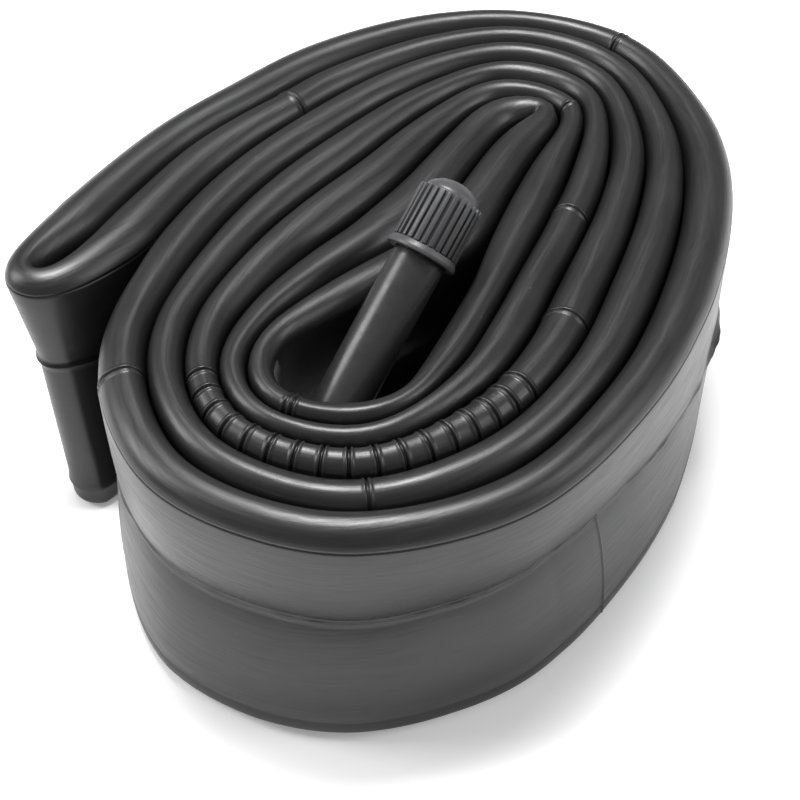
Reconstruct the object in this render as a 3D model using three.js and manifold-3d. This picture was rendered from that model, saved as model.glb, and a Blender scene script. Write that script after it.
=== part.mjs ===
// Bicycle inner tube, stored as it is sold: the empty ring is pressed flat, doubled and rolled up on edge,
// with its car-type valve leaning up out of the middle of the roll.
// Millimetres, +Z up. The roll stands on its lower fold at z = 0; the origin is under the middle of the whole.

import * as THREE from 'three';
import { mergeVertices } from 'three/addons/utils/BufferGeometryUtils.js';
import Module from 'manifold-3d';

const wasm = await Module();
wasm.setup();

// ---- Driving dimensions ----

const BAND_HEIGHT = 44; // flat width of the empty tube, which stands on edge
const WALL = 0.85; // thickness of the butyl wall
const PASS_GAP = 0.5; // room left between two neighbouring passes
const THICKEST_HALF = 3.3; // half thickness of the folded bead where the roll is loose
const THINNEST_HALF = 1.4; // and where it is rolled tight
const TIGHTEST_BEND_SHARE = 0.7; // most of a bend's radius that the half thickness takes up
const STEPS_PER_SPAN = 2; // steps along the band between two route points
const TIP_LEAN = [4.5, -7.5]; // how far the loose end's fold leans in at its foot, and forward
const TIP_LEAN_REACH = 18; // how far back from the fold the lean fades out
const ROLL_CENTRE = [-2.81, 199.88]; // middle of the roll in the plan below
const HUB = [4, 189.8]; // the spokes below start here

// Valve, along its own axis from the tube's wall outwards.
const VALVE_FOOT = [-15.2, 163.4, 25.3]; // where the axis meets the wall, in the plan below
const VALVE_AZIMUTH = 54; // degrees from +X towards +Y
const VALVE_RISE = 36; // degrees above level
const SLEEVE_RADIUS = 4.1;
const SLEEVE_BORE = 3.3;
const SLEEVE_END = 37.6;
const INSERT_START = 6;
const INSERT_END = 47.8; // the stem's mouth
const INSERT_RADIUS = 3;
const THREAD_RADIUS = 3.85; // 7.7 mm, the car-type valve's outside thread
const CORE_THREAD_RADIUS = 2.6; // 5.2 mm, its inside thread
const AIR_BORE = 2.05;
const CLEARANCE = 0.15; // running clearance inside the valve
const CAP_BASE = 38.1;
const CAP_LENGTH = 12.3;
const CAP_BAND = 1.5; // plain band at the cap's mouth
const CAP_DOME = 2.3; // height of the dome above the ribs
const CAP_RADIUS = 5.1;
const CAP_RIBS = 20;
const PATCH_GAP = 0.3;
const PATCH_THICKNESS = 0.7;
const PATCH_HEIGHTS = [12, 38]; // lower and upper edge of the patch
const AIR_HOLE_RADIUS = 1.8;
const AIR_HOLE_LENGTH = 8;

// ---- Materials ----

const butyl = new THREE.MeshStandardMaterial({ color: 0x2c2c2e, roughness: 0.45, metalness: 0 });
const valveRubber = new THREE.MeshStandardMaterial({ color: 0x262627, roughness: 0.35, metalness: 0 });
const sealRubber = new THREE.MeshStandardMaterial({ color: 0x1c1c1c, roughness: 0.6, metalness: 0 });
const capPlastic = new THREE.MeshStandardMaterial({ color: 0x242426, roughness: 0.38, metalness: 0 });
const brass = new THREE.MeshStandardMaterial({ color: 0xb08d4a, roughness: 0.35, metalness: 1 });
const springSteel = new THREE.MeshStandardMaterial({ color: 0x9a9c9e, roughness: 0.3, metalness: 1 });

// ---- Solids: closed meshes to manifold-3d and back ----

function toSolid(geometry) {
  const bare = geometry.clone();
  bare.deleteAttribute('normal');
  bare.deleteAttribute('uv');
  const merged = mergeVertices(bare, 1e-4);
  return new wasm.Manifold(new wasm.Mesh({
    numProp: 3,
    vertProperties: new Float32Array(merged.attributes.position.array),
    triVerts: new Uint32Array(merged.index.array),
  }));
}

function toGeometry(solid) {
  const mesh = solid.getMesh();
  const geometry = new THREE.BufferGeometry();
  geometry.setAttribute('position', new THREE.BufferAttribute(new Float32Array(mesh.vertProperties), 3));
  geometry.setIndex(new THREE.BufferAttribute(new Uint32Array(mesh.triVerts), 1));
  geometry.computeVertexNormals();
  return geometry;
}

function named(name, geometry, material) {
  const mesh = new THREE.Mesh(geometry, material);
  mesh.name = name;
  return mesh;
}

// A turned piece about +Z; the profile lists [radius, height] pairs anticlockwise in the radius-height plane.
function turned(profile, sides = 24) {
  const outline = [...profile, profile[0]].map(([radius, height]) => new THREE.Vector2(radius, height));
  return new THREE.LatheGeometry(outline, sides).rotateX(Math.PI / 2);
}

// The same for a piece of the core, whose heights are measured from the stem's mouth, so they are negative.
function turnedInMouth(profile, sides) {
  return turned(profile.map(([radius, height]) => [radius, INSERT_END + height]), sides);
}

// ---- The roll's plan ----

// At each direction from the hub, in degrees, how far out the second, third, fifth and seventh passes of the
// band run.
const SPOKES = [
  { angle: 60, third: 49.4, fifth: 59.3, seventh: 70.2 },
  { angle: 75, third: 50.2, fifth: 61, seventh: 70.7 },
  { angle: 90, third: 37.3, fifth: 53.8, seventh: 66.7 },
  { angle: 108, third: 27.3, fifth: 45, seventh: 60.5 },
  { angle: 135, third: 23.4, fifth: 38.7 },
  { angle: 165, second: 15.6, third: 24.8, fifth: 38.3 },
  { angle: 195, second: 24, third: 32.6, fifth: 45 },
  { angle: 213, second: 33.3, third: 38, fifth: 48.8 },
  { angle: 230, second: 36.5, third: 40.4, fifth: 51.4 },
  { angle: 255, second: 33.3, third: 37.9, fifth: 49.8 },
  { angle: 285, second: 21.5, third: 28.5, fifth: 43.5 },
  { angle: 320, second: 15, third: 22.8, fifth: 36.6 },
  { angle: 0, second: 15.6, third: 23.4, fifth: 39.4 },
  { angle: 30, second: 24.4, third: 34.6, fifth: 52.4 },
  { angle: 45, second: 37, third: 47.4, fifth: 61.8 },
];

// The first pass makes the slack leaf round the eye of the roll, from the inner fold and back beside it.
const LEAF = [
  [22.8, 227.4], [18.7, 222], [13.2, 211.7], [8.3, 201.5], [2.3, 196], [-5.8, 189.9],
  [-13, 183.6], [-18.6, 177.6], [-20.4, 171.5], [-18.4, 165.4], [-13, 162.2], [-5.4, 161.5], [1.5, 164.8],
  [5.5, 171], [8.8, 177.4], [14.2, 190.1], [19.8, 204.4], [25.1, 218.7], [28.2, 226],
];
const INNER_FOLD = [[22.4, 233.3], [24.7, 232.3], [24.9, 229.8]];
const BESIDE_INNER_FOLD = [[19.4, 233.4], [16.2, 232.3], [12.6, 228.2], [9.3, 222], [2.8, 210.6], [-5.5, 199.3]];
const OUT_TO_TIP = [[-27.5, 235.8], [-37, 226], [-45, 214.5], [-51.5, 203.5], [-55.6, 196]];
const TIP_FOLD = [[-57.1, 191.8], [-55.6, 189.6], [-52.8, 189.8]];
const BACK_FROM_TIP = [[-49.2, 192.8], [-44, 199.5], [-38.5, 209], [-32.5, 219], [-25, 227.5], [-17.5, 234.4]];

function onSpoke(angle, distance) {
  const turn = THREE.MathUtils.degToRad(angle);
  return [HUB[0] + distance * Math.cos(turn), HUB[1] + distance * Math.sin(turn)];
}

// The way out: the leaf, then turn after turn to the tip.
function outgoingHalf() {
  const points = [...LEAF];
  for (const pass of ['third', 'fifth', 'seventh']) {
    const spokes = SPOKES.filter((spoke) => pass in spoke);
    points.push(...spokes.map((spoke) => onSpoke(spoke.angle, spoke[pass])));
  }
  return [...points, ...OUT_TO_TIP];
}

// The way back lies between two passes of the way out.
function returningHalf() {
  const points = [...BESIDE_INNER_FOLD];
  for (const spoke of SPOKES.filter((each) => 'second' in each)) {
    points.push(onSpoke(spoke.angle, spoke.second));
  }
  for (const spoke of SPOKES) {
    points.push(onSpoke(spoke.angle, (spoke.third + spoke.fifth) / 2));
  }
  for (const spoke of SPOKES.filter((each) => 'seventh' in each)) {
    points.push(onSpoke(spoke.angle, (spoke.fifth + spoke.seventh) / 2));
  }
  return points.reverse();
}

const routePoints = [...outgoingHalf(), ...TIP_FOLD, ...BACK_FROM_TIP, ...returningHalf(), ...INNER_FOLD];
const route = new THREE.CatmullRomCurve3(
  routePoints.map(([x, y]) => new THREE.Vector3(x - ROLL_CENTRE[0], y - ROLL_CENTRE[1], 0)),
  true,
  'centripetal',
);
const STEPS = routePoints.length * STEPS_PER_SPAN;

// Stations along the route: place, the level direction across the band, and half the thickness of its bead,
// which fills the room up to the nearest neighbouring pass.
function layOutStations() {
  const stations = [];
  for (let step = 0; step < STEPS; step += 1) {
    const place = route.getPoint(step / STEPS);
    const along = route.getTangent(step / STEPS);
    stations.push({ place, across: new THREE.Vector3(-along.y, along.x, 0).normalize() });
  }
  for (let index = 0; index < STEPS; index += 1) {
    const station = stations[index];
    const before = stations[(index + STEPS - 1) % STEPS];
    const after = stations[(index + 1) % STEPS];
    const bendRadius = before.place.distanceTo(after.place) / before.across.angleTo(after.across);
    let room = 2 * TIGHTEST_BEND_SHARE * bendRadius + PASS_GAP;
    for (const other of stations) {
      const apart = other.place.clone().sub(station.place);
      const sideways = Math.abs(apart.dot(station.across));
      const lengthways = Math.sqrt(Math.max(apart.lengthSq() - sideways * sideways, 0));
      const isBeside = sideways > 2 && lengthways < 5;
      if (isBeside) {
        room = Math.min(room, sideways);
      }
    }
    station.half = THREE.MathUtils.clamp((room - PASS_GAP) / 2, THINNEST_HALF, THICKEST_HALF);
  }
  return stations.map((station, index) => {
    const before = stations[(index + STEPS - 1) % STEPS];
    const after = stations[(index + 1) % STEPS];
    return { ...station, half: Math.min(station.half, (before.half + after.half) / 2 + 0.2) };
  });
}

const stations = layOutStations();

// Half thickness of the flattened tube at a height: full at both beads, pinched at mid-height.
function halfThickness(bead, height) {
  const fromMiddle = Math.abs(2 * height / BAND_HEIGHT - 1);
  const waist = 0.75 + 0.25 * THREE.MathUtils.smoothstep(fromMiddle, 0, 0.75);
  return bead * waist;
}

const tip = new THREE.Vector3(TIP_FOLD[1][0] - ROLL_CENTRE[0], TIP_FOLD[1][1] - ROLL_CENTRE[1], 0);

// The fold at the loose end stands aslant: its foot lies further in and forward than its top.
function tipLean(place, height) {
  const near = THREE.MathUtils.clamp(1.15 - place.distanceTo(tip) / TIP_LEAN_REACH, 0, 1);
  const share = near * (1 - height / BAND_HEIGHT);
  return [TIP_LEAN[0] * share, TIP_LEAN[1] * share];
}

// A closed skin round the whole band: at every station the ring of [height, share of half thickness, inset].
function bandSkin(ring) {
  const geometry = new THREE.TorusGeometry(2, 1, ring.length, STEPS);
  const position = geometry.attributes.position;
  const perRing = STEPS + 1;
  for (let corner = 0; corner <= ring.length; corner += 1) {
    for (let step = 0; step <= STEPS; step += 1) {
      const { height, share, inset } = ring[corner % ring.length];
      const { place, across, half } = stations[step % STEPS];
      const offset = share * Math.max(halfThickness(half, height) - inset, 0.2);
      const [leanX, leanY] = tipLean(place, height);
      position.setXYZ(
        corner * perRing + step,
        place.x + across.x * offset + leanX,
        place.y + across.y * offset + leanY,
        height,
      );
    }
  }
  return geometry;
}

function tubeBody() {
  const outer = [
    [0, -0.5], [2.2, -0.95], [22, -1], [41.6, -0.95], [44, 0], [41.6, 0.95], [22, 1], [2.2, 0.95], [0, 0.5],
  ].map(([height, share]) => ({ height, share, inset: 0 }));
  const chamber = [
    [1.5, 0], [5, -1], [22, -1], [39, -1], [42.5, 0], [39, 1], [22, 1], [5, 1],
  ].map(([height, share]) => ({ height, share, inset: WALL }));
  let solid = toSolid(bandSkin(outer)).subtract(toSolid(bandSkin(chamber)));
  solid = solid.subtract(toSolid(airHole()));
  return named('tube_body', toGeometry(solid), butyl);
}

// ---- The valve's place on the wall ----

const foot = new THREE.Vector3(...VALVE_FOOT).sub(new THREE.Vector3(...ROLL_CENTRE, 0));

function nearestStation() {
  const level = new THREE.Vector3(foot.x, foot.y, 0);
  let best = 0;
  for (let index = 1; index < STEPS; index += 1) {
    if (stations[index].place.distanceTo(level) < stations[best].place.distanceTo(level)) {
      best = index;
    }
  }
  return best;
}

const footIndex = nearestStation();

// A level drill from the air chamber through the inner wall at the valve's foot.
function airHole() {
  const { place, across } = stations[footIndex];
  const drill = new THREE.CylinderGeometry(AIR_HOLE_RADIUS, AIR_HOLE_RADIUS, AIR_HOLE_LENGTH, 16);
  drill.rotateZ(Math.PI / 2 + Math.atan2(across.y, across.x));
  const middle = AIR_HOLE_LENGTH / 2;
  return drill.translate(place.x + across.x * middle, place.y + across.y * middle, foot.z);
}

// A pad that follows the inner wall round the valve's foot: between two distances from the wall's face, a number
// of stations each way, and between two heights.
function wallPad({ near, far, reach, heights: [low, high] }) {
  const first = footIndex - reach;
  const columns = 2 * reach;
  const rows = 6;
  const geometry = new THREE.BoxGeometry(1, 1, 1, columns, rows, 1);
  const position = geometry.attributes.position;
  for (let index = 0; index < position.count; index += 1) {
    const column = Math.round((0.5 - position.getX(index)) * columns);
    const height = low + (position.getY(index) + 0.5) * (high - low);
    const { place, across, half } = stations[(first + column + STEPS) % STEPS];
    const outwards = position.getZ(index) > 0 ? far : near;
    const offset = halfThickness(half, height) + outwards;
    position.setXYZ(index, place.x + across.x * offset, place.y + across.y * offset, height);
  }
  return geometry;
}

function valvePatch() {
  const far = PATCH_GAP + PATCH_THICKNESS;
  const pad = toSolid(wallPad({ near: PATCH_GAP, far, reach: 3, heights: PATCH_HEIGHTS }));
  return named('valve_patch', toGeometry(pad.subtract(toSolid(airHole()))), butyl);
}

const valve = new THREE.Group();
valve.position.copy(foot);
const riseAxis = new THREE.Vector3(
  Math.cos(THREE.MathUtils.degToRad(VALVE_RISE)) * Math.cos(THREE.MathUtils.degToRad(VALVE_AZIMUTH)),
  Math.cos(THREE.MathUtils.degToRad(VALVE_RISE)) * Math.sin(THREE.MathUtils.degToRad(VALVE_AZIMUTH)),
  Math.sin(THREE.MathUtils.degToRad(VALVE_RISE)),
);
valve.quaternion.setFromUnitVectors(new THREE.Vector3(0, 0, 1), riseAxis);
valve.updateMatrixWorld(true);

// ---- Valve pieces, each turned about the valve's axis ----

// Rubber sleeve with a flared foot that is cut to the lie of the patch.
function stemRubber() {
  const sleeve = turned([
    [SLEEVE_BORE, -6], [7.5, -6], [7.5, 4], [6.4, 6], [4.8, 8.6], [SLEEVE_RADIUS, 12],
    [SLEEVE_RADIUS, SLEEVE_END - 0.6], [SLEEVE_RADIUS - 0.5, SLEEVE_END], [SLEEVE_BORE, SLEEVE_END],
  ]).applyMatrix4(valve.matrixWorld);
  const wallAndPatch = { near: -16, far: 2 * PATCH_GAP + PATCH_THICKNESS, reach: 6, heights: [2, 43] };
  const cut = toSolid(sleeve).subtract(toSolid(wallPad(wallAndPatch)));
  return named('stem_rubber', toGeometry(cut), valveRubber);
}

// Brass insert: outside thread under the cap, inside thread and tapered seat for the core.
function stemInsert() {
  const shoulder = SLEEVE_END + 0.3;
  return named('stem_insert', turned([
    [AIR_BORE, INSERT_START], [INSERT_RADIUS, INSERT_START], [INSERT_RADIUS, shoulder],
    [THREAD_RADIUS, shoulder], [THREAD_RADIUS, INSERT_END - 0.6], [THREAD_RADIUS - 0.6, INSERT_END],
    [CORE_THREAD_RADIUS, INSERT_END], [CORE_THREAD_RADIUS, INSERT_END - 8.3], [AIR_BORE, INSERT_END - 10.3],
  ]), brass);
}

// The threaded plug of the core, with a bore for the pin and two flats on its head for the tool.
function corePlug() {
  const radius = CORE_THREAD_RADIUS - CLEARANCE;
  const blank = toSolid(turnedInMouth([
    [0.9, -5.8], [radius, -5.8], [radius, -2.7], [1.9, -2.4], [1.9, -0.8], [0.9, -0.8],
  ]));
  const flat = (side) => toSolid(new THREE.BoxGeometry(2, 6, 3).translate(side * 2.1, 0, INSERT_END - 0.9));
  return named('core_plug', toGeometry(blank.subtract(flat(1)).subtract(flat(-1))), brass);
}

// The barrel hangs from the plug: an upper room for the spring, a ledge under it and an open lower end.
function coreBarrel() {
  return named('core_barrel', turnedInMouth([
    [0.85, -14.2], [1.7, -14.2], [1.7, -6], [1.3, -6], [1.3, -12.1], [0.85, -12.1],
  ]), brass);
}

function coreSealRing() {
  return named('core_seal_ring', turnedInMouth([
    [1.85, -10], [1.98, -10], [2.28, -8.9], [1.85, -8.9],
  ]), sealRubber);
}

// The pin: flush with the mouth of the stem, a collar for the spring and a flared tip under the seat cup.
function corePin() {
  return named('core_pin', turnedInMouth([
    [0, -16.1], [0.8, -16.1], [0.8, -15.7], [0.5, -15.5], [0.5, -7.7], [1.1, -7.7], [1.1, -7.2], [0.5, -7.2],
    [0.5, -0.4], [0, -0.3],
  ], 16), brass);
}

function pinSeatCup() {
  return named('pin_seat_cup', turnedInMouth([
    [0.62, -15.55], [1.5, -15.55], [1.5, -14.6], [1.32, -14.6], [1.32, -15.25], [0.62, -15.25],
  ], 16), brass);
}

function pinSeatWasher() {
  return named('pin_seat_washer', turnedInMouth([
    [0.62, -15.12], [1.2, -15.12], [1.2, -14.35], [0.62, -14.35],
  ], 16), sealRubber);
}

// Round the pin in the barrel's upper room, it holds the seat cup up against the barrel.
function coreSpring() {
  const turns = 5;
  const coilRadius = 0.9;
  const wireRadius = 0.17;
  const low = INSERT_END - 11.75;
  const high = INSERT_END - 8.05;
  class Helix extends THREE.Curve {
    getPoint(share, target = new THREE.Vector3()) {
      const angle = 2 * Math.PI * turns * share;
      return target.set(coilRadius * Math.cos(angle), coilRadius * Math.sin(angle), low + (high - low) * share);
    }
  }
  const wire = new THREE.Shape();
  wire.absarc(0, 0, wireRadius, 0, 2 * Math.PI);
  const geometry = new THREE.ExtrudeGeometry(wire, {
    steps: turns * 12, curveSegments: 3, bevelEnabled: false, extrudePath: new Helix(),
  });
  return named('core_spring', geometry, springSteel);
}

// Moulded cap: plain band at its mouth, a ring of grip ribs and a low dome.
function capShell() {
  const top = CAP_BASE + CAP_LENGTH;
  const bore = THREAD_RADIUS + 0.2;
  const rootRadius = CAP_RADIUS - 0.35;
  const shell = toSolid(turned([
    [bore, CAP_BASE], [CAP_RADIUS + 0.3, CAP_BASE], [CAP_RADIUS + 0.3, CAP_BASE + CAP_BAND],
    [rootRadius, CAP_BASE + CAP_BAND + 0.2], [rootRadius, top - CAP_DOME], [4, top - 1.1], [2.4, top - 0.2],
    [0, top], [0, top - 1.2], [bore - 0.6, top - 1.2], [bore - 0.3, top - 2.4], [bore, top - 2.8],
  ], 40));
  const ribs = [];
  const ribStart = CAP_BASE + CAP_BAND - 0.1;
  const ribLength = top - CAP_DOME - 0.2 - ribStart;
  for (let index = 0; index < CAP_RIBS; index += 1) {
    const rib = new THREE.BoxGeometry(0.8, 0.75, ribLength);
    rib.translate(CAP_RADIUS - 0.4, 0, ribStart + ribLength / 2);
    ribs.push(toSolid(rib.rotateZ(2 * Math.PI * index / CAP_RIBS)));
  }
  const ribbed = ribs.reduce((whole, rib) => whole.add(rib), shell);
  return named('cap_shell', toGeometry(ribbed), capPlastic);
}

function capGasket() {
  const top = CAP_BASE + CAP_LENGTH - 1.4;
  return named('cap_gasket', turned([[2, top - 0.8], [3.3, top - 0.8], [3.3, top], [2, top]]), sealRubber);
}

// ---- Assembly ----

valve.add(
  stemInsert(),
  corePlug(),
  coreBarrel(),
  coreSealRing(),
  corePin(),
  pinSeatCup(),
  pinSeatWasher(),
  coreSpring(),
  capShell(),
  capGasket(),
);

const innerTube = new THREE.Group();
innerTube.add(tubeBody(), valvePatch(), stemRubber(), valve);

export default innerTube;
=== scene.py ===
"""Bicycle inner tube as it is stored: pressed flat, doubled and rolled up on edge, its valve leaning out."""

import math

import bmesh
import bpy
import numpy as np
from mathutils import Matrix, Vector, noise


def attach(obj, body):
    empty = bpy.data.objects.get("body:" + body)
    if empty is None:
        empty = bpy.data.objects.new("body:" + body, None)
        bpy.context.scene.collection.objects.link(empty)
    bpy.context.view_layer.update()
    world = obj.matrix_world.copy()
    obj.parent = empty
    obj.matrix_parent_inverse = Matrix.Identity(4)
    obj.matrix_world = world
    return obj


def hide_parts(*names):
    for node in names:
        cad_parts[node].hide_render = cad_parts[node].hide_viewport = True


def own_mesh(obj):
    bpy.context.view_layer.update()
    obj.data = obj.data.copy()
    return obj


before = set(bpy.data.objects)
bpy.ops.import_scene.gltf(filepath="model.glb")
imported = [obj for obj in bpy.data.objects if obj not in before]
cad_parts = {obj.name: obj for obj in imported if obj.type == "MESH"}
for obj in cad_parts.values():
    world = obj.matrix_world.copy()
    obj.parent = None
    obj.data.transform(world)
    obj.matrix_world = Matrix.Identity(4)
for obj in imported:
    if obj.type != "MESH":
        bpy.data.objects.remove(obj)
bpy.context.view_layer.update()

MM = 0.001

# ---- Sizes, in millimetres ----

BAND_HEIGHT = 44
ROLL_CENTRE = (-2.81, 199.88)  # middle of the roll in the plan below
HUB = (4, 189.8)  # the spokes below start here
AIR_GAP = 0.16  # dark gap left on each side of a pass
CROWN_HEIGHT = 23  # height of the moulding flash on the tread side
SIDE_LINE_ANGLE = 12  # degrees up the shoulder at which the fine mould line runs
RING_SPREAD = 0.42  # half the distance between the two lips of a moulded ring
TIP_HALF = 1.6  # half thickness of the band at the loose end's fold
TIP_SHOULDER = 1.8  # how much further out the bead stands there
FOOT_LINE = 0.915  # how far down from the crown to the foot a second mould line runs

# The valve, measured along its axis from the tube's wall.
VALVE_FOOT = (-15.2, 163.4, 25.3)  # in the plan below
VALVE_AZIMUTH = 54
VALVE_RISE = 36
SLEEVE_RADIUS = 4.1
SLEEVE_BORE = 3.3
SLEEVE_END = 37.6
INSERT_START = 6
INSERT_END = 47.8
THREAD_RADIUS = 3.85
THREAD_PITCH = 25.4 / 32
CORE_THREAD_RADIUS = 2.6
AIR_BORE = 2.05
CAP_BASE = 38.1
CAP_LENGTH = 12.3
CAP_RADIUS = 5.1
CAP_RIBS = 27
CAP_DOME = 2.3
PATCH_THICKNESS = 0.9
PATCH_REACH = 13  # how far the patch runs each way along the band
PATCH_HEIGHTS = (9, 41)


# ---- Camera, a longer lens looking down at the roll ----

def place_camera():
    data = bpy.data.cameras.new("camera")
    data.sensor_width = 36
    data.lens = 76.5
    data.clip_start = 0.01
    camera = bpy.data.objects.new("camera", data)
    camera.location = (-ROLL_CENTRE[0] * MM, -ROLL_CENTRE[1] * MM, 212.6 * MM)
    camera.rotation_euler = (math.radians(44), 0, 0)
    bpy.context.scene.collection.objects.link(camera)
    bpy.context.scene.camera = camera


place_camera()


# ---- Small helpers ----

def linear(hex_colour):
    """An sRGB hex colour as linear RGBA."""
    channels = [int(hex_colour[i:i + 2], 16) / 255 for i in (1, 3, 5)]
    return [c / 12.92 if c <= 0.04045 else ((c + 0.055) / 1.055) ** 2.4 for c in channels] + [1]


def add(tree, kind, settings=None, **inputs):
    """Adds a node to a tree, with its settings, and its inputs as values or links."""
    node = tree.nodes.new(kind)
    for name, value in (settings or {}).items():
        setattr(node, name, value)
    for name, value in inputs.items():
        wanted = name.replace("_", " ").lower()
        socket = next(s for s in node.inputs if s.name.lower() == wanted and s.enabled)
        if isinstance(value, bpy.types.NodeSocket):
            tree.links.new(value, socket)
        else:
            socket.default_value = value
    return node


def put_in_scene(name, mesh, material, body, replaces=()):
    """A finished mesh as a piece: smooth, with its material, riding on its body."""
    piece = bpy.data.objects.new(name, mesh)
    bpy.context.scene.collection.objects.link(piece)
    mesh.materials.clear()
    mesh.materials.append(material)
    for face in mesh.polygons:
        face.use_smooth = True
    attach(piece, body)
    if replaces:
        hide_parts(*replaces)
    return piece


def signed_volume(points, faces):
    quads = points[faces]
    first, second, third, fourth = (quads[:, k] for k in range(4))
    cross = np.cross(second, third)
    other = np.cross(third, fourth)
    return ((first * cross).sum() + (first * other).sum()) / 6


def ring_grid_faces(rings, corners, offset=0):
    """Quads of a closed tube of rings: ring r, corner c is vertex r * corners + c."""
    ring, corner = np.meshgrid(np.arange(rings), np.arange(corners), indexing="ij")
    after = (ring + 1) % rings
    beside = (corner + 1) % corners
    quads = np.stack([
        ring * corners + corner, ring * corners + beside,
        after * corners + beside, after * corners + corner,
    ], axis=-1)
    return quads.reshape(-1, 4) + offset


# ---- The roll's plan ----

# At each compass direction from the hub, how far out the second, third, fifth and seventh passes run.
SPOKES = [
    {"angle": 60, "third": 49.4, "fifth": 59.3, "seventh": 70.2},
    {"angle": 75, "third": 50.2, "fifth": 61, "seventh": 70.7},
    {"angle": 90, "third": 37.3, "fifth": 53.8, "seventh": 66.7},
    {"angle": 108, "third": 27.3, "fifth": 45, "seventh": 60.5},
    {"angle": 135, "third": 23.4, "fifth": 38.7},
    {"angle": 165, "second": 15.6, "third": 24.8, "fifth": 38.3},
    {"angle": 195, "second": 24, "third": 32.6, "fifth": 45},
    {"angle": 213, "second": 33.3, "third": 38, "fifth": 48.8},
    {"angle": 230, "second": 36.5, "third": 40.4, "fifth": 51.4},
    {"angle": 255, "second": 33.3, "third": 37.9, "fifth": 49.8},
    {"angle": 285, "second": 21.5, "third": 28.5, "fifth": 43.5},
    {"angle": 320, "second": 15, "third": 22.8, "fifth": 36.6},
    {"angle": 0, "second": 15.6, "third": 23.4, "fifth": 39.4},
    {"angle": 30, "second": 24.4, "third": 34.6, "fifth": 52.4},
    {"angle": 45, "second": 37, "third": 47.4, "fifth": 61.8},
]
# The first pass makes the slack leaf round the eye of the roll, from the inner fold and back beside it.
LEAF = [
    (22.8, 227.4), (18.7, 222), (13.2, 211.7), (8.3, 201.5), (2.3, 196), (-5.8, 189.9),
    (-13, 183.6), (-18.6, 177.6), (-20.4, 171.5), (-18.4, 165.4), (-13, 162.2), (-5.4, 161.5), (1.5, 164.8),
    (5.5, 171), (8.8, 177.4), (14.2, 190.1), (19.8, 204.4), (25.1, 218.7), (28.2, 226),
]
INNER_FOLD = [(22.4, 233.3), (24.7, 232.3), (24.9, 229.8)]
BESIDE_INNER_FOLD = [(19.4, 233.4), (16.2, 232.3), (12.6, 228.2), (9.3, 222), (2.8, 210.6), (-5.5, 199.3)]
OUT_TO_TIP = [(-27.5, 235.8), (-37, 226), (-45, 214.5), (-51.5, 203.5), (-55.6, 196)]
TIP_FOLD = [(-57.1, 191.8), (-55.6, 189.6), (-52.8, 189.8)]
BACK_FROM_TIP = [(-49.2, 192.8), (-44, 199.5), (-38.5, 209), (-32.5, 219), (-25, 227.5), (-17.5, 234.4)]


def on_spoke(angle, distance):
    turn = math.radians(angle)
    return HUB[0] + distance * math.cos(turn), HUB[1] + distance * math.sin(turn)


def outgoing_half():
    """The leaf, then turn after turn out to the tip."""
    points = list(LEAF)
    for passed in ("third", "fifth", "seventh"):
        points += [on_spoke(spoke["angle"], spoke[passed]) for spoke in SPOKES if passed in spoke]
    return points + OUT_TO_TIP


def returning_half():
    """The way back lies between two passes of the way out."""
    points = list(BESIDE_INNER_FOLD)
    points += [on_spoke(spoke["angle"], spoke["second"]) for spoke in SPOKES if "second" in spoke]
    points += [on_spoke(spoke["angle"], (spoke["third"] + spoke["fifth"]) / 2) for spoke in SPOKES]
    for spoke in SPOKES:
        if "seventh" in spoke:
            points.append(on_spoke(spoke["angle"], (spoke["fifth"] + spoke["seventh"]) / 2))
    return points[::-1]


def smooth_round(values, sigma):
    """A closed list of values, evened out over a number of steps."""
    reach = int(4 * sigma)
    weights = np.exp(-0.5 * (np.arange(-reach, reach + 1) / sigma) ** 2)
    weights /= weights.sum()
    padded = np.concatenate([values[-reach:], values, values[:reach]])
    if values.ndim == 1:
        return np.convolve(padded, weights, "valid")
    return np.stack([np.convolve(padded[:, k], weights, "valid") for k in range(values.shape[1])], axis=1)


def through_points(points, per_span=40):
    """A closed centripetal Catmull-Rom curve through the route's points."""
    points = np.array(points, float)
    count = len(points)
    curve = []
    for i in range(count):
        p0, p1, p2, p3 = (points[(i + k) % count] for k in (-1, 0, 1, 2))
        t1 = np.linalg.norm(p1 - p0) ** 0.5
        t2 = t1 + np.linalg.norm(p2 - p1) ** 0.5
        t3 = t2 + np.linalg.norm(p3 - p2) ** 0.5
        t = np.linspace(t1, t2, per_span, endpoint=False)[:, None]
        a1 = (t1 - t) / t1 * p0 + t / t1 * p1
        a2 = (t2 - t) / (t2 - t1) * p1 + (t - t1) / (t2 - t1) * p2
        a3 = (t3 - t) / (t3 - t2) * p2 + (t - t2) / (t3 - t2) * p3
        b1 = (t2 - t) / t2 * a1 + t / t2 * a2
        b2 = (t3 - t) / (t3 - t1) * a2 + (t - t1) / (t3 - t1) * a3
        curve.append((t2 - t) / (t2 - t1) * b1 + (t - t1) / (t2 - t1) * b2)
    return np.concatenate(curve)


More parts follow.
